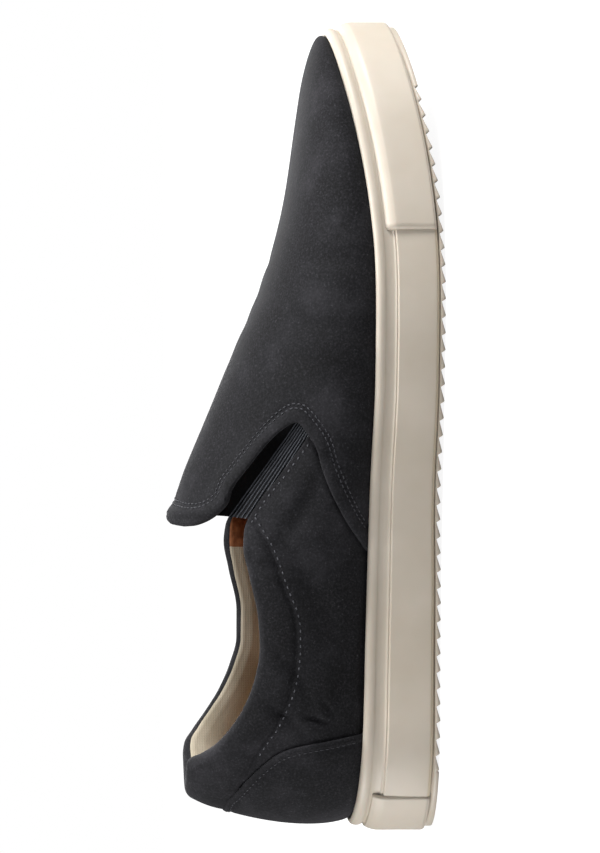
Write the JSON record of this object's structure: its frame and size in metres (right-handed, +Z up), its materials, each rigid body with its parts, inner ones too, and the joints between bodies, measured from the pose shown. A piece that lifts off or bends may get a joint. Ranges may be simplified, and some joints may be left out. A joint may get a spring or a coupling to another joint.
{
  "type": "slip-on sneaker",
  "caption": "Black nubuck slip-on sneaker for the right foot, with elastic side gores, padded collar and a cream rubber cupsole.",
  "frame": {"origin": "middle of the shoe's plan box, at floor height", "axes": "+X towards the toe, +Y towards the inner (medial) side, +Z up"},
  "size_m": [0.3, 0.1019, 0.0983],
  "materials": {
    "suede_black": "napped nubuck, matt",
    "rubber_cream": "moulded, satin",
    "leather_brown": "smooth lining leather, satin",
    "elastic_black": "ribbed woven elastic, matt"
  },
  "bodies": {
    "root": {"outsole": "rubber_cream", "cupsole": "rubber_cream", "toe_bumper": "rubber_cream", "heel_strip": "rubber_cream", "upper": "suede_black", "heel_counter": "suede_black", "gore_lateral": "elastic_black", "gore_medial": "elastic_black", "insole": "leather_brown"}
  },
  "joints": []
}
